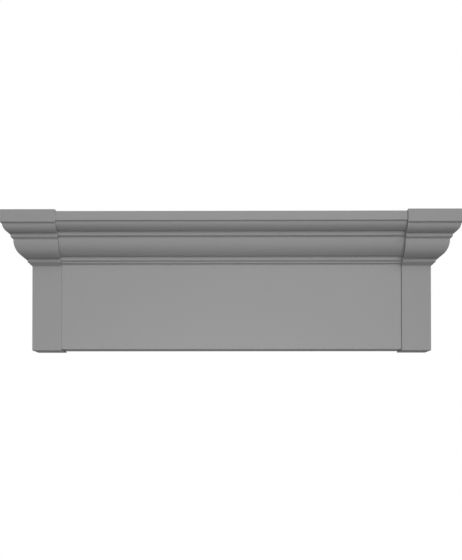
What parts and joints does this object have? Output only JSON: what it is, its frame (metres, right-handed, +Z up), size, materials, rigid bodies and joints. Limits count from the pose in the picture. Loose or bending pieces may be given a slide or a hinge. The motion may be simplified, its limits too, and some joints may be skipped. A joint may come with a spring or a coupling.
{
  "type": "crosshead moulding",
  "caption": "Hollow moulded header with a flat frieze under a projecting crown of ovolos and fillets, and a mitred cap sleeved over each end.",
  "frame": {"origin": "centre of the back, on the rear edge of the middle rib, in the plane of the wall", "axes": "+X along the length, to the right of someone who faces the moulding; -Y out of the wall, the way the moulding faces; +Z up"},
  "size_m": [0.7658, 0.0766, 0.2286],
  "materials": {
    "header_vinyl": "matt mid grey moulded vinyl with a faint grain",
    "end_cap_vinyl": "matt mid grey moulded vinyl with a faint grain, a shade darker than the header"
  },
  "bodies": {
    "root": {"header": "header_vinyl", "end_cap_left": "end_cap_vinyl", "end_cap_right": "end_cap_vinyl"}
  },
  "joints": []
}
